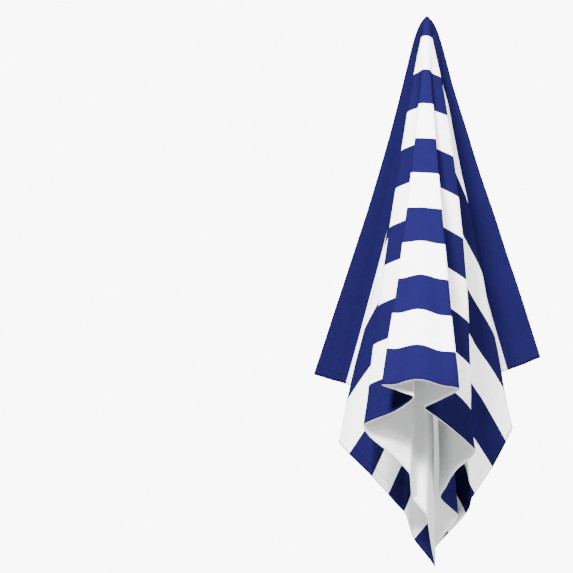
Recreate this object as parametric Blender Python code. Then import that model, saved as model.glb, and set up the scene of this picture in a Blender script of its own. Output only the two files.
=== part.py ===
"""Striped beach towel hanging in folds from one point near the middle of a long edge.

Metres, +Z up. The origin is the point the towel hangs from, the printed face looks to -Y.
"""
import math
from collections import namedtuple

import bpy
import numpy as np

# The cloth laid flat
CLOTH_LENGTH = 1.524
CLOTH_WIDTH = 0.762
CLOTH_THICKNESS = 0.0022
HOOK_INSET = 0.0276
HALF_LENGTH = CLOTH_LENGTH / 2
DROP = CLOTH_WIDTH - HOOK_INSET

# Angles in the cloth are seen from the hook: 0 runs to the right along the near long edge,
# 90 straight across the cloth and 180 to the left.
FAR_CORNER = math.degrees(math.atan2(DROP, HALF_LENGTH))
NEAR_CORNER = -math.degrees(math.atan2(HOOK_INSET, HALF_LENGTH))

# How the folds change on the way down
TOP_REACH = 0.15
HEM_REACH = 0.75
SLACK_START = 0.12
SLACK_REACH = 0.70
MOST_SLACK = 0.28

# The cloth bunched over the hook stands wider than the folds below it
KNOB_SPREAD = 0.064
KNOB_REACH = 0.42
KNOB_DEPTH_SHARE = 0.4
PEAK_HEIGHT = 0.017

# Roundness of a crease, and how much softer it is near the hook
CREASE_RADIUS = 0.0056
CREASE_SOFTENING = 0.007
CREASE_FADE = 0.12
SOFTEST_CREASE = 38.0

# Mesh
ANGLE_STEP = 0.25
CREASE_OFFSETS = (-1.7, -0.7, 0.7, 1.7)
WIDEST_COLUMN = 3.7
CAP_RINGS = 4
SKIRT_ROWS = 17
ROW_GROWTH = 1.7

CLOTH_COLOR = (0.0110, 0.0232, 0.1470, 1.0)
CLOTH_ROUGHNESS = 0.95

# A row for each crease, from the left end of the cloth over the front to the right end.
# angle: where the crease lies in the cloth. side and forward: which way it runs down from the
# hook, in degrees off the vertical. Each is given near the hook and at the hem. bow: whether
# the panel that follows swells forward (above 0), back (below 0) or is flat (0), and how much.
Crease = namedtuple("Crease", "name angle_top angle_hem side_top side_hem forward_top forward_hem bow")
CREASES = (
    Crease("left flap middle", 270, 270, 0, 0, -38, -38, 0),
    Crease("left flap", 215, 215, -17, -17, -34, -34, 0),
    Crease("left wing edge", 182, 182, -16.2, -17.6, -20, -20.6, 0.6),
    Crease("left wing inner", 176.9, 176.9, -11.8, -12.3, -20, -20, -0.5),
    Crease("left back valley", 168, 166.2, -6, -3.8, -12.5, -14.3, 0.5),
    Crease("left outer fold", 160, 155.5, -9.5, -11.9, -6, -8.6, 0.4),
    Crease("left outer swell", 150, 149.5, -8, -7.1, -4, -5.5, -0.4),
    Crease("left outer dip", 140, 141.8, -6, -2.4, -1.5, -11.5, 0),
    Crease("left end swell", 138, 138.9, -4.0, -1.4, -2.3, -8.4, 0),
    Crease("left point", 136, 180 - FAR_CORNER, -2.0, 1.0, -3, -6.5, 0),
    Crease("left deep valley", 130, 129.3, -2.2, -0.1, 1.5, 0.1, 0),
    Crease("left lining crease", 126, 127.2, -4.2, -1.7, 4.0, -0.1, 0),
    Crease("left lining bend", 121, 122.9, -6.5, -2.1, 7, 3.8, -0.3),
    Crease("left inner fold", 110, 112.7, -11.3, -8.9, 11, 9.1, 0.2),
    Crease("left inner swell", 105, 108.1, -8, -5.2, 13.5, 11.4, -0.3),
    Crease("left front valley", 99, 102.2, -3.8, -1.9, 16.5, 15.7, -0.3),
    Crease("front left", 94, 96.4, -5.9, -7.45, 21, 17.1, 0.75),
    Crease("front right", 85, 82.5, 4.2, 4.9, 20.5, 16.0, -0.4),
    Crease("right front valley", 78, 75.1, 1.5, -0.7, 14, 11.4, 0.2),
    Crease("right inner fold", 66, 61.6, 12.0, 6.45, 6.5, 0.9, -0.3),
    Crease("right lining bend", 60, 57.9, 7.7, 3.7, 3.5, -1.9, -0.2),
    Crease("right deep valley", 53, 52.6, 2.6, 1.5, 0, -6.3, -0.3),
    Crease("right low fold", 48.5, 49.4, 3.0, 3.8, -3, -8.4, 0),
    Crease("right point", 44, FAR_CORNER, 1.6, 0.5, -6, -12.9, -0.5),
    Crease("right outer dip", 36, 35.4, 2.6, 5.3, -10.5, -8.0, 0.2),
    Crease("right outer swell", 25, 31.0, 7.3, 8.4, -12.5, -11.3, 0.2),
    Crease("right outer fold", 12, 24.4, 13.0, 12.1, -15, -16.9, -0.2),
    Crease("right back valley", 8, 12.2, 10.5, 4.0, -19, -23.1, -0.5),
    Crease("right wing inner", 3.1, 3.1, 13.0, 13.2, -24, -25, 0.6),
    Crease("right wing edge", -2, -2, 18.0, 18.9, -25, -26.6, 0),
    Crease("right wing rim", -8, -8, 18.0, 24.5, -27, -28.0, 0),
    Crease("right flap", -35, -35, 18, 18, -38, -38, 0),
    Crease("right flap middle", -90, -90, 0, 0, -38, -38, 0),
)


def part_way(value, start, end):
    return min(1.0, max(0.0, (value - start) / (end - start)))


def mixed(top, hem, share):
    return top + (hem - top) * share


def half_turn_of(chord_share):
    """Half the angle of an arc whose chord is this share of its length."""
    low, high = 0.0, math.pi
    for _ in range(40):
        middle = (low + high) / 2
        if math.sin(middle) / middle > chord_share:
            low = middle
        else:
            high = middle
    return (low + high) / 2


def panel(start, end, length, bow, steps):
    """Points from one crease to the next, as (side, forward), on an arc of the given length."""
    start, end = np.array(start), np.array(end)
    share = np.linspace(0.0, 1.0, steps, endpoint=False)
    chord = np.linalg.norm(end - start)
    flat = start + (end - start) * share[:, None]
    if bow == 0 or length < chord * 1.001:
        return flat
    half_turn = half_turn_of(chord / length)
    radius = length / (2 * half_turn)
    turn = half_turn * (2 * share - 1)
    along = (end - start) / chord
    outward = np.array((-along[1], along[0]))
    if outward[1] < 0:
        outward = -outward
    run = radius * np.sin(turn) + chord / 2
    rise = radius * (np.cos(turn) - math.cos(half_turn))
    return start + run[:, None] * along + bow * rise[:, None] * outward


CLOTH_ANGLES = np.arange(270.0, -90.0 - ANGLE_STEP / 2, -ANGLE_STEP)


def folded_directions(distance):
    """(side, forward) in degrees for every cloth angle, at this distance from the hook."""
    share = part_way(distance, TOP_REACH, HEM_REACH)
    slack = part_way(distance, SLACK_START, SLACK_START + SLACK_REACH)
    angles, points = [], []
    for here, after in zip(CREASES[:-1], CREASES[1:]):
        first = mixed(here.angle_top, here.angle_hem, share)
        last = mixed(after.angle_top, after.angle_hem, share)
        start = (mixed(here.side_top, here.side_hem, share), mixed(here.forward_top, here.forward_hem, share))
        end = (mixed(after.side_top, after.side_hem, share), mixed(after.forward_top, after.forward_hem, share))
        chord = math.dist(start, end)
        spare = min(max(0.0, first - last - chord), MOST_SLACK * chord) * slack
        steps = max(2, round((first - last) / (2 * ANGLE_STEP)))
        points.extend(panel(start, end, chord + spare, here.bow, steps))
        angles.extend(np.linspace(first, last, steps, endpoint=False))
    angles.append(CREASES[-1].angle_hem)
    points.append((CREASES[-1].side_hem, CREASES[-1].forward_hem))
    points = np.array(points)
    return [np.interp(-CLOTH_ANGLES, -np.array(angles), points[:, axis]) for axis in (0, 1)]


def rounded(values, spread):
    """The values with their creases rounded off over this many degrees of cloth."""
    reach = math.ceil(3 * spread / ANGLE_STEP)
    weights = np.exp(-0.5 * (np.arange(-reach, reach + 1) * ANGLE_STEP / spread) ** 2)
    closed = np.concatenate((values[-reach - 1:-1], values, values[1:reach + 1]))
    return np.convolve(closed, weights / weights.sum(), "valid")


def slopes_at(distance):
    """Sideways and forward slope for every cloth angle, at this distance from the hook."""
    reach = max(distance, PEAK_HEIGHT)
    radius = CREASE_RADIUS + CREASE_SOFTENING * math.exp(-reach / CREASE_FADE)
    spread = min(math.degrees(radius / reach), SOFTEST_CREASE)
    gather = 1 + KNOB_SPREAD / reach * max(0.0, 1 - reach / KNOB_REACH) ** 2
    side, forward = (np.tan(np.radians(rounded(turn, spread))) for turn in folded_directions(distance))
    return side * gather, forward * mixed(1.0, gather, KNOB_DEPTH_SHARE)


FARTHEST = math.hypot(HALF_LENGTH, DROP)
LADDER = np.concatenate((np.linspace(0.004, 0.06, 15), np.linspace(0.07, FARTHEST + 0.01, 100)))
SLOPES = np.array([slopes_at(distance) for distance in LADDER])


def hang(distance, angle):
    """Where a point of the cloth hangs, from its distance and angle seen from the hook."""
    step = min(max(np.searchsorted(LADDER, distance) - 1, 0), len(LADDER) - 2)
    share = part_way(distance, LADDER[step], LADDER[step + 1])
    rows = mixed(SLOPES[step], SLOPES[step + 1], share)
    side, forward = (np.interp(-angle, -CLOTH_ANGLES, row) for row in rows)
    downward = distance / math.sqrt(1 + side**2 + forward**2)
    return (downward * side, -downward * forward, -downward)


def column_places():
    """Columns of the mesh, as cloth angles at the hem: close together round a crease."""
    angles = [crease.angle_hem for crease in CREASES]
    marks = []
    for index in range(2, len(CREASES) - 4):
        first, last = angles[index], angles[index + 1]
        stops = [first]
        stops += [first - offset for offset in CREASE_OFFSETS if 0 < offset < (first - last) / 2]
        stops += [last - offset for offset in CREASE_OFFSETS if 0 > offset > (last - first) / 2]
        stops.append(last)
        for start, end in zip(stops[:-1], stops[1:]):
            pieces = max(1, math.ceil((start - end) / WIDEST_COLUMN))
            marks += [start + (end - start) * piece / pieces for piece in range(pieces)]
    return marks + [angles[-4]]


def edge_angle(distance):
    """How far past 0 or 180 the near long edge lies, at this distance from the hook."""
    return math.degrees(math.asin(min(1.0, HOOK_INSET / distance)))


def angle_at(mark, distance):
    """The cloth angle of a column at this distance: it follows its crease."""
    share = part_way(distance, TOP_REACH, HEM_REACH)
    hem = [crease.angle_hem for crease in CREASES]
    here = [mixed(crease.angle_top, crease.angle_hem, share) for crease in CREASES]
    angle = np.interp(-mark, -np.array(hem), here)
    # Near the hook the cloth reaches further round, so its columns spread out
    past_edge = edge_angle(distance)
    share = (angle - NEAR_CORNER) / (180 - 2 * NEAR_CORNER)
    return mixed(-past_edge, 180 + past_edge, share)


def rim_distance(mark):
    """Distance from the hook to the edge of the cloth along a column."""
    distance = DROP
    for _ in range(8):
        angle = math.radians(angle_at(mark, distance))
        to_end = HALF_LENGTH / max(abs(math.cos(angle)), 1e-6)
        to_far_edge = DROP / math.sin(angle) if math.sin(angle) > 1e-6 else math.inf
        distance = min(to_end, to_far_edge)
    return distance


def cloth_sheet():
    """Vertices and faces of the middle of the cloth: a cap over the hook, and the skirt below it."""
    marks = column_places()
    rims = [rim_distance(mark) for mark in marks]
    points, faces = [hang(0.0005, 90.0)], []
    rings = []
    for ring in range(1, CAP_RINGS + 1):
        distance = HOOK_INSET * ring / CAP_RINGS
        row = []
        for mark in marks[:-1]:
            share = (mark - marks[-1]) / (marks[0] - marks[-1])
            row.append(len(points))
            points.append(hang(distance, -90 + 360 * share))
        rings.append(row + row[:1])
    for step in range(1, SKIRT_ROWS + 1):
        share = (step / SKIRT_ROWS) ** ROW_GROWTH
        row = []
        for mark, rim in zip(marks, rims):
            distance = mixed(HOOK_INSET, rim, share)
            row.append(len(points))
            points.append(hang(distance, angle_at(mark, distance)))
        rings.append(row)
    for left, right in zip(rings[0][:-1], rings[0][1:]):
        faces.append((0, left, right))
    for upper, lower in zip(rings[:-1], rings[1:]):
        for column in range(len(marks) - 1):
            quad = (upper[column], lower[column], lower[column + 1], upper[column + 1])
            faces.append(quad)
    return points, faces


def cloth_material():
    material = bpy.data.materials.new("terry_cloth")
    material.use_nodes = True
    shader = material.node_tree.nodes["Principled BSDF"]
    shader.inputs["Base Color"].default_value = CLOTH_COLOR
    shader.inputs["Roughness"].default_value = CLOTH_ROUGHNESS
    return material


def build_towel():
    points, faces = cloth_sheet()
    mesh = bpy.data.meshes.new("towel")
    mesh.from_pydata(points, [], faces)
    mesh.update()
    mesh.shade_smooth()
    mesh.materials.append(cloth_material())
    towel = bpy.data.objects.new("towel", mesh)
    bpy.context.scene.collection.objects.link(towel)
    thicken = towel.modifiers.new("thickness", "SOLIDIFY")
    thicken.thickness = CLOTH_THICKNESS
    thicken.offset = 0.0
    return towel


for leftover in list(bpy.data.objects):
    bpy.data.objects.remove(leftover)
build_towel()
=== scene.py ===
import math

import bmesh
import bpy
import numpy as np
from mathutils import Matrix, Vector


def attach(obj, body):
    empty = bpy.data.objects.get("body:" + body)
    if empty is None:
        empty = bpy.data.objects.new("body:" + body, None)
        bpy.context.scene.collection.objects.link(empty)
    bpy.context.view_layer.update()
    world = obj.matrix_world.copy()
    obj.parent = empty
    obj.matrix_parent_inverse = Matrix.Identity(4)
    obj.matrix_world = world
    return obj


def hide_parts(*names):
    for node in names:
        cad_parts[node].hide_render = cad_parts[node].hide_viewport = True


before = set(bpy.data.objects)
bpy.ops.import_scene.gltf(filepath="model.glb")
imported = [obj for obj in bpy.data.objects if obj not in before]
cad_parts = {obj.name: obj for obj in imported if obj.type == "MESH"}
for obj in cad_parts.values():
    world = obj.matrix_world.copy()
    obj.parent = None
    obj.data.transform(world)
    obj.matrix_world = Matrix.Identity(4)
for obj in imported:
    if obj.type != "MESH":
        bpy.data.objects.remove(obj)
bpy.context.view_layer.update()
print("frame loaded")


cloth = {
    "length": 1.524,
    "width": 0.762,
    "hookInset": 0.0276,  # from the near long edge to the hook
    "thickness": 0.0022,
    "stripes": 11,
    "hemWidth": 0.019,  # the short ends are turned over by this much
}
halfLength = cloth["length"] / 2
drop = cloth["width"] - cloth["hookInset"]
farCorner = math.degrees(math.atan2(drop, halfLength))
nearCorner = -math.degrees(math.atan2(cloth["hookInset"], halfLength))

# Each row is a crease, from the left end of the cloth over the front to the right end.
# angle: where it lies in the cloth, seen from the hook (0 right along the long edge, 90 across).
# side, forward: which way it runs down from the hook, in degrees. First near the hook, then at
# the hem. bow: how much the panel that follows swells forward (over 0) or back (under 0).
creases = (
    # name, angleTop, angleHem, sideTop, sideHem, forwardTop, forwardHem, bow
    ("left flap middle", 270, 270, 0, 0, -38, -38, 0),
    ("left flap", 215, 215, -17, -17, -34, -34, 0),
    ("left wing edge", 182, 182, -16.2, -17.6, -20, -20.6, 0.6),
    ("left wing inner", 176.9, 176.9, -11.8, -12.3, -20, -20, -0.5),
    ("left back valley", 168, 166.2, -6, -3.8, -12.5, -14.3, 0.5),
    ("left outer fold", 160, 155.5, -9.5, -11.9, -6, -8.6, 0.4),
    ("left outer swell", 150, 149.5, -8, -7.1, -4, -5.5, -0.4),
    ("left outer dip", 140, 141.8, -6, -2.4, -1.5, -11.5, 0),
    ("left end swell", 138, 138.9, -4.0, -1.4, -2.3, -8.4, 0),
    ("left point", 136, 180 - farCorner, -2.0, 1.0, -3, -6.5, 0),
    ("left deep valley", 130, 129.3, -2.2, -0.1, 1.5, 0.1, 0),
    ("left lining crease", 126, 127.2, -4.2, -1.7, 4.0, -0.1, 0),
    ("left lining bend", 121, 122.9, -6.5, -2.1, 7, 3.8, -0.3),
    ("left inner fold", 110, 112.7, -11.3, -8.9, 11, 9.1, 0.2),
    ("left inner swell", 105, 108.1, -8, -5.2, 13.5, 11.4, -0.3),
    ("left front valley", 99, 102.2, -3.8, -1.9, 16.5, 15.7, -0.3),
    ("front left", 94, 96.4, -5.9, -7.45, 21, 17.1, 0.75),
    ("front right", 85, 82.5, 4.2, 4.9, 20.5, 16.0, -0.4),
    ("right front valley", 78, 75.1, 1.5, -0.7, 14, 11.4, 0.2),
    ("right inner fold", 66, 61.6, 12.0, 6.45, 6.5, 0.9, -0.3),
    ("right lining bend", 60, 57.9, 7.7, 3.7, 3.5, -1.9, -0.2),
    ("right deep valley", 53, 52.6, 2.6, 1.5, 0, -6.3, -0.3),
    ("right low fold", 48.5, 49.4, 3.0, 3.8, -3, -8.4, 0),
    ("right point", 44, farCorner, 1.6, 0.5, -6, -12.9, -0.5),
    ("right outer dip", 36, 35.4, 2.6, 5.3, -10.5, -8.0, 0.2),
    ("right outer swell", 25, 31.0, 7.3, 8.4, -12.5, -11.3, 0.2),
    ("right outer fold", 12, 24.4, 13.0, 12.1, -15, -16.9, -0.2),
    ("right back valley", 8, 12.2, 10.5, 4.0, -19, -23.1, -0.5),
    ("right wing inner", 3.1, 3.1, 13.0, 13.2, -24, -25, 0.6),
    ("right wing edge", -2, -2, 18.0, 18.9, -25, -26.6, 0),
    ("right wing rim", -8, -8, 18.0, 24.5, -27, -28.0, 0),
    ("right flap", -35, -35, 18, 18, -38, -38, 0),
    ("right flap middle", -90, -90, 0, 0, -38, -38, 0),
)

drape = {
    "topReach": 0.15,
    "hemReach": 0.75,
    "slackStart": 0.12,
    "slackReach": 0.70,
    "mostSlack": 0.28,
    "knobSpread": 0.064,  # the cloth bunched over the hook stands wider
    "knobReach": 0.42,
    "knobDepthShare": 0.4,
    "peakHeight": 0.017,
    "creaseRadius": 0.0054,
    "creaseSoftening": 0.007,
    "creaseFade": 0.12,
    "softestCrease": 38.0,
    "angleStep": 0.25,
    "columnWidth": 1.05,  # in degrees of cloth
    "rows": 112,
    "capRings": 9,
    "rowGrowth": 1.25,
}


def partWay(value, start, end):
    return min(1.0, max(0.0, (value - start) / (end - start)))


def mixed(first, last, share):
    return first + (last - first) * share


def halfTurnOf(chordShare):
    # half the angle of an arc whose chord is this share of its length
    low, high = 0.0, math.pi
    for _ in range(40):
        middle = (low + high) / 2
        if math.sin(middle) / middle > chordShare:
            low = middle
        else:
            high = middle
    return (low + high) / 2


def panelPoints(start, end, length, bow, steps):
    # from one crease to the next, as (side, forward), on an arc of the given length
    start, end = np.array(start), np.array(end)
    share = np.linspace(0.0, 1.0, steps, endpoint=False)
    chord = np.linalg.norm(end - start)
    flat = start + (end - start) * share[:, None]
    if bow == 0 or length < chord * 1.001:
        return flat
    halfTurn = halfTurnOf(chord / length)
    radius = length / (2 * halfTurn)
    turn = halfTurn * (2 * share - 1)
    along = (end - start) / chord
    outward = np.array((-along[1], along[0]))
    if outward[1] < 0:
        outward = -outward
    run = radius * np.sin(turn) + chord / 2
    rise = radius * (np.cos(turn) - math.cos(halfTurn))
    return start + run[:, None] * along + bow * rise[:, None] * outward


clothAngles = np.arange(270.0, -90.0 - drape["angleStep"] / 2, -drape["angleStep"])


def foldedDirections(distance):
    # (side, forward) in degrees for every cloth angle, at this distance from the hook
    share = partWay(distance, drape["topReach"], drape["hemReach"])
    slackEnd = drape["slackStart"] + drape["slackReach"]
    slack = partWay(distance, drape["slackStart"], slackEnd)
    angles, points = [], []
    for here, after in zip(creases[:-1], creases[1:]):
        first = mixed(here[1], here[2], share)
        last = mixed(after[1], after[2], share)
        start = (mixed(here[3], here[4], share), mixed(here[5], here[6], share))
        end = (mixed(after[3], after[4], share), mixed(after[5], after[6], share))
        chord = math.dist(start, end)
        spare = min(max(0.0, first - last - chord), drape["mostSlack"] * chord) * slack
        steps = max(2, round((first - last) / (2 * drape["angleStep"])))
        points.extend(panelPoints(start, end, chord + spare, here[7], steps))
        angles.extend(np.linspace(first, last, steps, endpoint=False))
    angles.append(creases[-1][2])
    points.append((creases[-1][4], creases[-1][6]))
    points = np.array(points)
    return [np.interp(-clothAngles, -np.array(angles), points[:, axis]) for axis in (0, 1)]


def rounded(values, spread):
    # the creases rounded off over this many degrees of cloth
    reach = math.ceil(3 * spread / drape["angleStep"])
    weights = np.exp(-0.5 * (np.arange(-reach, reach + 1) * drape["angleStep"] / spread) ** 2)
    closed = np.concatenate((values[-reach - 1:-1], values, values[1:reach + 1]))
    return np.convolve(closed, weights / weights.sum(), "valid")


def slopesAt(distance):
    reach = max(distance, drape["peakHeight"])
    softening = drape["creaseSoftening"] * math.exp(-reach / drape["creaseFade"])
    radius = drape["creaseRadius"] + softening
    spread = min(math.degrees(radius / reach), drape["softestCrease"])
    gather = 1 + drape["knobSpread"] / reach * max(0.0, 1 - reach / drape["knobReach"]) ** 2
    side, forward = (
        np.tan(np.radians(rounded(turn, spread))) for turn in foldedDirections(distance)
    )
    return side * gather, forward * mixed(1.0, gather, drape["knobDepthShare"])


farthest = math.hypot(halfLength, drop)
ladder = np.concatenate((np.linspace(0.004, 0.06, 15), np.linspace(0.07, farthest + 0.01, 120)))
slopes = np.array([slopesAt(distance) for distance in ladder])


def hang(distance, angle):
    # where points of the cloth hang, from arrays of their distances and angles seen from the hook
    step = np.clip(np.searchsorted(ladder, distance) - 1, 0, len(ladder) - 2)
    down = np.clip((distance - ladder[step]) / (ladder[step + 1] - ladder[step]), 0, 1)
    place = (clothAngles[0] - angle) / drape["angleStep"]
    column = np.clip(place.astype(int), 0, len(clothAngles) - 2)
    across = place - column
    side, forward = (
        (table[step, column] * (1 - across) + table[step, column + 1] * across) * (1 - down)
        + (table[step + 1, column] * (1 - across) + table[step + 1, column + 1] * across) * down
        for table in (slopes[:, 0], slopes[:, 1])
    )
    fall = distance / np.sqrt(1 + side**2 + forward**2)
    return np.stack((fall * side, -fall * forward, -fall), axis=-1)


print("folds worked out")


def columnMarks():
    # columns of the mesh as cloth angles at the hem, close together round a crease
    angles = [crease[2] for crease in creases]
    marks = []
    for first, last in zip(angles[2:-4], angles[3:-3]):
        stops = [first]
        stops += [first - offset for offset in (0.3, 0.7, 1.2, 1.9) if offset < (first - last) / 2]
        stops += [last + offset for offset in (1.9, 1.2, 0.7, 0.3) if offset < (first - last) / 2]
        stops.append(last)
        for start, end in zip(stops[:-1], stops[1:]):
            pieces = max(1, math.ceil((start - end) / drape["columnWidth"]))
            marks += [start + (end - start) * piece / pieces for piece in range(pieces)]
    return np.array(marks + [angles[-4]])


hemAngles = np.array([crease[2] for crease in creases], float)
topAngles = np.array([crease[1] for crease in creases], float)


def anglesAt(marks, distance):
    # the cloth angle of each column at its distance: it follows its crease
    share = np.clip((distance - drape["topReach"]) / (drape["hemReach"] - drape["topReach"]), 0, 1)
    atTop = np.interp(-marks, -hemAngles, topAngles)
    angle = mixed(atTop, marks, share)
    pastEdge = np.degrees(np.arcsin(np.minimum(1.0, cloth["hookInset"] / distance)))
    share = (angle - nearCorner) / (180 - 2 * nearCorner)
    return mixed(-pastEdge, 180 + pastEdge, share)


def rimDistances(marks):
    distance = np.full(len(marks), drop)
    for _ in range(10):
        angle = np.radians(anglesAt(marks, distance))
        toEnd = halfLength / np.maximum(np.abs(np.cos(angle)), 1e-6)
        toFarEdge = np.where(np.sin(angle) > 1e-6, drop / np.maximum(np.sin(angle), 1e-6), 1e9)
        distance = np.minimum(toEnd, toFarEdge)
    return distance


ripples = (
    # name, angle, width in degrees, where it starts and is full (m from the hook), height forward
    ("front ridge", 90.0, 2.4, 0.28, 0.68, 0.0056),
    ("front hollow left", 94.0, 1.6, 0.34, 0.72, -0.0030),
    ("front hollow right", 86.0, 1.9, 0.34, 0.72, -0.0030),
    ("left lining swell", 115.5, 1.6, 0.62, 0.78, 0.0042),
    ("left lining hollow", 119.0, 1.4, 0.60, 0.76, -0.0040),
    ("right lining hollow", 59.8, 1.1, 0.50, 0.72, 0.0036),
    ("right lining swell", 56.2, 1.3, 0.55, 0.74, -0.0044),
    ("low hem curl", 46.6, 1.4, 0.78, 0.96, -0.0030),
    ("left end wave", 146.0, 1.4, 0.72, 0.90, 0.0024),
    ("left end hollow", 151.6, 1.5, 0.66, 0.84, -0.0020),
    ("left wing wave", 179.2, 1.0, 0.30, 0.74, 0.0020),
    ("right wing wave", 0.8, 0.9, 0.34, 0.74, 0.0018),
)
unevenness = {
    "height": 0.0006,  # over all the cloth
    "waves": (34.0, 17, 23, 31),  # how close together they run
    "bend": 2.1,
    "start": 0.15,  # m from the hook
    "growth": 0.35,
    "lift": 0.8,  # the front fold's hem goes up where it swells
    "liftFrom": 80,  # between these angles
    "liftTo": 100,
}


def rippled(points, distances, angles):
    # the low swells that the cloth has besides its folds, along its own normal
    down = np.gradient(points, axis=0)
    across = np.gradient(points, axis=1)
    normals = np.cross(down, across)
    normals /= np.maximum(np.linalg.norm(normals, axis=-1, keepdims=True), 1e-12)
    height = np.zeros(distances.shape)
    for _, angle, width, start, full, rise in ripples:
        share = np.clip((distances - start) / (full - start), 0, 1)
        height += rise * share**2 * (3 - 2 * share) * np.exp(-((angles - angle) / width) ** 2)
    reach = np.clip((distances - unevenness["start"]) / unevenness["growth"], 0, 1)
    x, y = distances * np.cos(np.radians(angles)), distances * np.sin(np.radians(angles))
    first, second, third, fourth = unevenness["waves"]
    wave = np.sin(x * first + unevenness["bend"] * np.sin(y * second))
    wave = wave + np.sin(y * third + x * fourth + 1.3)
    height += unevenness["height"] * reach * wave
    lifted = points + normals * height[..., None]
    inFront = (angles > unevenness["liftFrom"]) * (angles < unevenness["liftTo"])
    lifted[..., 2] += unevenness["lift"] * height * inFront
    return lifted


def towelMesh():
    marks = columnMarks()
    rims = rimDistances(marks)
    around = (marks - marks[-1]) / (marks[0] - marks[-1])
    distances, angles = [], []
    for ring in range(1, drape["capRings"] + 1):
        distances.append(np.full(len(marks), cloth["hookInset"] * ring / drape["capRings"]))
        angles.append(-90 + 360 * around)
    for row in range(1, drape["rows"] + 1):
        share = (row / drape["rows"]) ** drape["rowGrowth"]
        distances.append(mixed(cloth["hookInset"], rims, share))
        angles.append(anglesAt(marks, distances[-1]))
    distances, angles = np.array(distances), np.array(angles)
    points = hang(distances, angles)
    caps = drape["capRings"]
    points[caps:] = rippled(points[caps:], distances[caps:], angles[caps:])
    flat = np.stack((halfLength + distances * np.cos(np.radians(angles)),
                     cloth["hookInset"] + distances * np.sin(np.radians(angles))), axis=-1)
    rows, columns = distances.shape
    # the cap's rings close on their first point, the rows below end at the two halves of the edge
    index = np.arange(rows * columns).reshape(rows, columns)
    index[:drape["capRings"], -1] = index[:drape["capRings"], 0]
    faces = [(rows * columns, index[0, c], index[0, c + 1]) for c in range(columns - 1)]
    for r in range(rows - 1):
        for c in range(columns - 1):
            faces.append((index[r, c], index[r + 1, c], index[r + 1, c + 1], index[r, c + 1]))
    points = np.concatenate((points.reshape(-1, 3), hang(np.array([0.0005]), np.array([90.0]))))
    flat = np.concatenate((flat.reshape(-1, 2), [(halfLength, cloth["hookInset"])]))
    return points, flat, faces


def buildTowel():
    points, flat, faces = towelMesh()
    mesh = bpy.data.meshes.new("beachTowel")
    corners = [[int(corner) for corner in face] for face in faces]
    mesh.from_pydata(points.tolist(), [], corners)
    layer = mesh.uv_layers.new(name="cloth")
    loopPoints = np.zeros(len(mesh.loops), int)
    mesh.loops.foreach_get("vertex_index", loopPoints)
    layer.data.foreach_set("uv", flat[loopPoints].astype(np.float32).ravel())
    mesh.update()
    mesh.shade_smooth()
    towel = bpy.data.objects.new("beachTowel", mesh)
    bpy.context.scene.collection.objects.link(towel)
    return towel


towel = buildTowel()
print("towel hung:", len(towel.data.polygons), "faces")


def dropLoosePoints(piece):
    work = bmesh.new()
    work.from_mesh(piece.data)
    spare = [point for point in work.verts if not point.link_faces]
    bmesh.ops.delete(work, geom=spare, context="VERTS")
    work.to_mesh(piece.data)
    work.free()


dropLoosePoints(towel)

thicken = towel.modifiers.new("clothThickness", "SOLIDIFY")
thicken.thickness = cloth["thickness"]
thicken.offset = 0.0
thicken.material_offset = 1
thicken.material_offset_rim = 0


def addNode(tree, kind, **values):
    node = tree.nodes.new(kind)
    for name, value in values.items():
        if name in node.inputs:
            node.inputs[name].default_value = value
        else:
            setattr(node, name, value)
    return node


def plug(tree, source, target):
    tree.links.new(source, target)


def mathNode(tree, operation, first, second=None, clamp=False):
    node = tree.nodes.new("ShaderNodeMath")
    node.operation = operation
    node.use_clamp = clamp
    for socket, value in zip(node.inputs, (first, second)):
        if value is None:
            continue
        if isinstance(value, (int, float)):
            socket.default_value = value
        else:
            tree.links.new(value, socket)
    return node.outputs[0]


def newGroup(name, inputs, outputs):
    group = bpy.data.node_groups.new(name, "ShaderNodeTree")
    for label, kind, value in inputs:
        socket = group.interface.new_socket(name=label, in_out="INPUT", socket_type=kind)
        if value is not None:
            socket.default_value = value
    for label, kind in outputs:
        group.interface.new_socket(name=label, in_out="OUTPUT", socket_type=kind)
    given = group.nodes.new("NodeGroupInput").outputs
    made = group.nodes.new("NodeGroupOutput").inputs
    return group, given, made


def stripeGroup():
    group, given, made = newGroup(
        "stripes",
        [("Place", "NodeSocketVector", None), ("Stripe Width", "NodeSocketFloat", 0.07),
         ("Edge Blur", "NodeSocketFloat", 0.0006), ("Edge Wander", "NodeSocketFloat", 0.0008)],
        [("Mask", "NodeSocketFloat")],
    )
    noise = addNode(group, "ShaderNodeTexNoise", Scale=420.0, Detail=2.0, Roughness=0.6)
    plug(group, given["Place"], noise.inputs["Vector"])
    parts = addNode(group, "ShaderNodeSeparateXYZ")
    plug(group, given["Place"], parts.inputs[0])
    drift = mathNode(group, "SUBTRACT", noise.outputs[0], 0.5)
    wander = mathNode(group, "MULTIPLY", drift, given["Edge Wander"])
    across = mathNode(group, "ADD", parts.outputs["Y"], wander)
    turns = mathNode(group, "ADD", mathNode(group, "DIVIDE", across, given["Stripe Width"]), 0.5)
    level = mathNode(group, "SUBTRACT", mathNode(group, "PINGPONG", turns, 1.0), 0.5)
    sharp = mathNode(group, "DIVIDE", given["Stripe Width"], given["Edge Blur"])
    steep = mathNode(group, "MULTIPLY", level, sharp)
    plug(group, mathNode(group, "ADD", steep, 0.5, clamp=True), made["Mask"])
    return group


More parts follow.
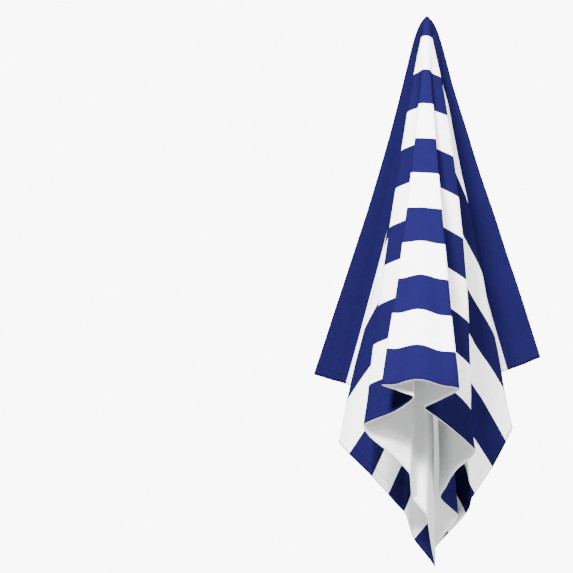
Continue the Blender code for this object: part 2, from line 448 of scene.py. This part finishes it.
def hemGroup():
    # the height of the turned end, with the groove that its seam pulls in
    group, given, made = newGroup(
        "turnedHem",
        [("Place", "NodeSocketVector", None), ("Cloth Length", "NodeSocketFloat", 1.5),
         ("Hem Width", "NodeSocketFloat", 0.019), ("Seam Inset", "NodeSocketFloat", 0.0025)],
        [("Height", "NodeSocketFloat")],
    )
    parts = addNode(group, "ShaderNodeSeparateXYZ")
    plug(group, given["Place"], parts.inputs[0])
    fromFarEnd = mathNode(group, "SUBTRACT", given["Cloth Length"], parts.outputs["X"])
    inset = mathNode(group, "MINIMUM", parts.outputs["X"], fromFarEnd)
    inside = mathNode(group, "SUBTRACT", given["Hem Width"], inset)
    hem = mathNode(group, "MULTIPLY", inside, 900.0, clamp=True)
    pastSeam = mathNode(group, "SUBTRACT", inside, given["Seam Inset"])
    fromSeam = mathNode(group, "ABSOLUTE", pastSeam)
    slope = mathNode(group, "DIVIDE", fromSeam, 0.0013)
    groove = mathNode(group, "SUBTRACT", 1.0, slope, clamp=True)
    raised = mathNode(group, "SUBTRACT", hem, mathNode(group, "MULTIPLY", groove, 0.85))
    plug(group, raised, made["Height"])
    return group


def pileGroup():
    # clumps of pile with finer fibres on them
    group, given, made = newGroup(
        "pile",
        [("Place", "NodeSocketVector", None), ("Clump Scale", "NodeSocketFloat", 500.0),
         ("Fibre Scale", "NodeSocketFloat", 1600.0), ("Shade Scale", "NodeSocketFloat", 60.0)],
        [("Height", "NodeSocketFloat"), ("Shade", "NodeSocketFloat")],
    )
    clump = addNode(group, "ShaderNodeTexNoise", Detail=3.0, Roughness=0.65)
    fibre = addNode(group, "ShaderNodeTexNoise", Detail=2.0, Roughness=0.6)
    shade = addNode(group, "ShaderNodeTexNoise", Detail=4.0, Roughness=0.7)
    for node, scale in ((clump, "Clump Scale"), (fibre, "Fibre Scale"), (shade, "Shade Scale")):
        plug(group, given["Place"], node.inputs["Vector"])
        plug(group, given[scale], node.inputs["Scale"])
    fine = mathNode(group, "MULTIPLY", fibre.outputs[0], 0.5)
    both = mathNode(group, "ADD", clump.outputs[0], fine)
    plug(group, both, made["Height"])
    plug(group, shade.outputs[0], made["Shade"])
    return group


stripesGroup, hemmingGroup, pilingGroup = stripeGroup(), hemGroup(), pileGroup()


def placeGroup(tree, group, place, **values):
    node = tree.nodes.new("ShaderNodeGroup")
    node.node_tree = group
    plug(tree, place, node.inputs["Place"])
    for name, value in values.items():
        node.inputs[name.replace("_", " ")].default_value = value
    return node


velour = {
    "navy": (0.0052, 0.0042, 0.0310, 1.0),
    "white": (0.88, 0.88, 0.875, 1.0),
    "roughness": 0.92,
    "sheen": 0.004,
    "shine": 0.0,
    "darkest": 0.88,  # the nap's shade goes from this
    "shadeRange": 0.24,  # up by this much
    "napStrength": 0.6,
    "napHeight": 0.00045,
    "hemHeight": 0.0011,
}


def colorMix(tree, share, first, second):
    node = tree.nodes.new("ShaderNodeMix")
    node.data_type = "RGBA"
    plug(tree, share, node.inputs[0])
    node.inputs[6].default_value = first
    node.inputs[7].default_value = second
    return node.outputs[2]


def velourFace():
    material = bpy.data.materials.new("stripedVelour")
    material.use_nodes = True
    tree = material.node_tree
    shader = tree.nodes["Principled BSDF"]
    place = addNode(tree, "ShaderNodeUVMap", uv_map="cloth").outputs[0]
    stripes = placeGroup(tree, stripesGroup, place, Edge_Blur=0.0009, Edge_Wander=0.0010,
                         Stripe_Width=cloth["width"] / cloth["stripes"])
    hem = placeGroup(tree, hemmingGroup, place,
                     Cloth_Length=cloth["length"], Hem_Width=cloth["hemWidth"])
    pile = placeGroup(tree, pilingGroup, place,
                      Clump_Scale=420.0, Fibre_Scale=1500.0, Shade_Scale=45.0)
    base = colorMix(tree, stripes.outputs["Mask"], velour["white"], velour["navy"])
    shade = mathNode(tree, "MULTIPLY", pile.outputs["Shade"], velour["shadeRange"])
    dimmer = mathNode(tree, "ADD", shade, velour["darkest"])
    shaded = tree.nodes.new("ShaderNodeVectorMath")
    shaded.operation = "SCALE"
    plug(tree, base, shaded.inputs[0])
    plug(tree, dimmer, shaded.inputs["Scale"])
    plug(tree, shaded.outputs[0], shader.inputs["Base Color"])
    shader.inputs["Roughness"].default_value = velour["roughness"]
    shader.inputs["Sheen Weight"].default_value = velour["sheen"]
    shader.inputs["Specular IOR Level"].default_value = velour["shine"]
    nap = addNode(tree, "ShaderNodeBump",
                  Strength=velour["napStrength"], Distance=velour["napHeight"])
    plug(tree, pile.outputs["Height"], nap.inputs["Height"])
    edge = addNode(tree, "ShaderNodeBump", Strength=1.0, Distance=velour["hemHeight"])
    plug(tree, hem.outputs["Height"], edge.inputs["Height"])
    plug(tree, nap.outputs[0], edge.inputs["Normal"])
    plug(tree, edge.outputs[0], shader.inputs["Normal"])
    return material


terry = {
    # the back's white is set much greyer than the printed white: painted shade, which darkens the
    # hollows and undersides where the back shows
    "white": (0.58, 0.585, 0.59, 1.0),
    "roughness": 0.95,
    "shine": 0.1,
    "darkest": 0.92,
    "shadeRange": 0.16,
    "loopStrength": 0.7,
    "loopHeight": 0.0009,
}


def terryBack():
    material = bpy.data.materials.new("terryLoops")
    material.use_nodes = True
    tree = material.node_tree
    shader = tree.nodes["Principled BSDF"]
    place = addNode(tree, "ShaderNodeUVMap", uv_map="cloth").outputs[0]
    hem = placeGroup(tree, hemmingGroup, place,
                     Cloth_Length=cloth["length"], Hem_Width=cloth["hemWidth"])
    pile = placeGroup(tree, pilingGroup, place,
                      Clump_Scale=520.0, Fibre_Scale=1300.0, Shade_Scale=70.0)
    shade = mathNode(tree, "MULTIPLY", pile.outputs["Shade"], terry["shadeRange"])
    dimmer = mathNode(tree, "ADD", shade, terry["darkest"])
    shaded = tree.nodes.new("ShaderNodeVectorMath")
    shaded.operation = "SCALE"
    # the greyer back white carries painted shade for the hollows and undersides
    shaded.inputs[0].default_value = terry["white"][:3]
    plug(tree, dimmer, shaded.inputs["Scale"])
    plug(tree, shaded.outputs[0], shader.inputs["Base Color"])
    shader.inputs["Roughness"].default_value = terry["roughness"]
    shader.inputs["Specular IOR Level"].default_value = terry["shine"]
    loops = addNode(tree, "ShaderNodeBump",
                    Strength=terry["loopStrength"], Distance=terry["loopHeight"])
    plug(tree, pile.outputs["Height"], loops.inputs["Height"])
    edge = addNode(tree, "ShaderNodeBump", Strength=1.0, Distance=velour["hemHeight"])
    plug(tree, hem.outputs["Height"], edge.inputs["Height"])
    plug(tree, loops.outputs[0], edge.inputs["Normal"])
    plug(tree, edge.outputs[0], shader.inputs["Normal"])
    return material


towel.data.materials.append(velourFace())
towel.data.materials.append(terryBack())
print("cloth coloured")

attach(towel, "root")
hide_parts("towel")


studio = {
    "floorDrop": 1.75,  # below the hook
    "floorSize": 14.0,
    "floorColor": (0.86, 0.86, 0.86, 1.0),
    "airColor": (1.0, 1.0, 1.0, 1.0),
    "airLight": 0.15,  # what the walls of the studio send back
    "backdrop": 9.0,  # how white the wall behind looks
}


def buildFloor():
    half = studio["floorSize"] / 2
    level = -studio["floorDrop"]
    mesh = bpy.data.meshes.new("studioFloor")
    corners = [(-half, -half, level), (half, -half, level), (half, half, level), (-half, half, level)]
    mesh.from_pydata(corners, [], [(0, 1, 2, 3)])
    floor = bpy.data.objects.new("studioFloor", mesh)
    bpy.context.scene.collection.objects.link(floor)
    material = bpy.data.materials.new("palePaper")
    material.use_nodes = True
    shader = material.node_tree.nodes["Principled BSDF"]
    shader.inputs["Base Color"].default_value = studio["floorColor"]
    shader.inputs["Roughness"].default_value = 0.8
    mesh.materials.append(material)


lamps = (
    # name, place, size, power, spread in degrees
    ("keyLight", (-1.2, -4.9, 2.7), 0.8, 138.0, 44.0),
    ("fillLight", (2.9, -4.7, 2.4), 1.4, 66.0, 50.0),
    ("backLight", (0.6, 4.4, 3.0), 3.0, 1700.0, 180.0),
)


def buildLights():
    middle = Vector((0.0, 0.0, -0.5))
    for name, place, size, power, spread in lamps:
        lamp = bpy.data.lights.new(name, "AREA")
        lamp.size = size
        lamp.energy = power
        lamp.spread = math.radians(spread)
        holder = bpy.data.objects.new(name, lamp)
        bpy.context.scene.collection.objects.link(holder)
        holder.location = place
        holder.rotation_euler = (middle - Vector(place)).to_track_quat("-Z", "Y").to_euler()
    world = bpy.data.worlds.new("studioAir")
    bpy.context.scene.world = world
    world.use_nodes = True
    tree = world.node_tree
    air = tree.nodes["Background"]
    wall = tree.nodes.new("ShaderNodeBackground")
    air.inputs["Color"].default_value = studio["airColor"]
    air.inputs["Strength"].default_value = studio["airLight"]
    wall.inputs["Color"].default_value = studio["airColor"]
    wall.inputs["Strength"].default_value = studio["backdrop"]
    rays = tree.nodes.new("ShaderNodeLightPath")
    either = tree.nodes.new("ShaderNodeMixShader")
    tree.links.new(rays.outputs["Is Camera Ray"], either.inputs[0])
    tree.links.new(air.outputs[0], either.inputs[1])
    tree.links.new(wall.outputs[0], either.inputs[2])
    tree.links.new(either.outputs[0], tree.nodes["World Output"].inputs["Surface"])


photo = {
    "size": 573,  # pixels each way
    "hookX": 427.0,  # where the hook is in it
    "hookY": 16.0,
    "metresPerPixel": 0.001905,
    "distance": 24.0,
}


def buildCamera():
    lens = bpy.data.cameras.new("photoCamera")
    lens.sensor_width = 36.0
    lens.lens = 36.0 * photo["distance"] / (photo["size"] * photo["metresPerPixel"])
    lens.clip_end = 100.0
    camera = bpy.data.objects.new("photoCamera", lens)
    bpy.context.scene.collection.objects.link(camera)
    middle = photo["size"] / 2
    camera.location = ((middle - photo["hookX"]) * photo["metresPerPixel"], -photo["distance"],
                       (photo["hookY"] - middle) * photo["metresPerPixel"])
    camera.rotation_euler = (math.radians(90), 0, 0)
    bpy.context.scene.camera = camera


buildFloor()
buildLights()
buildCamera()
print("studio ready")

bpy.context.view_layer.update()
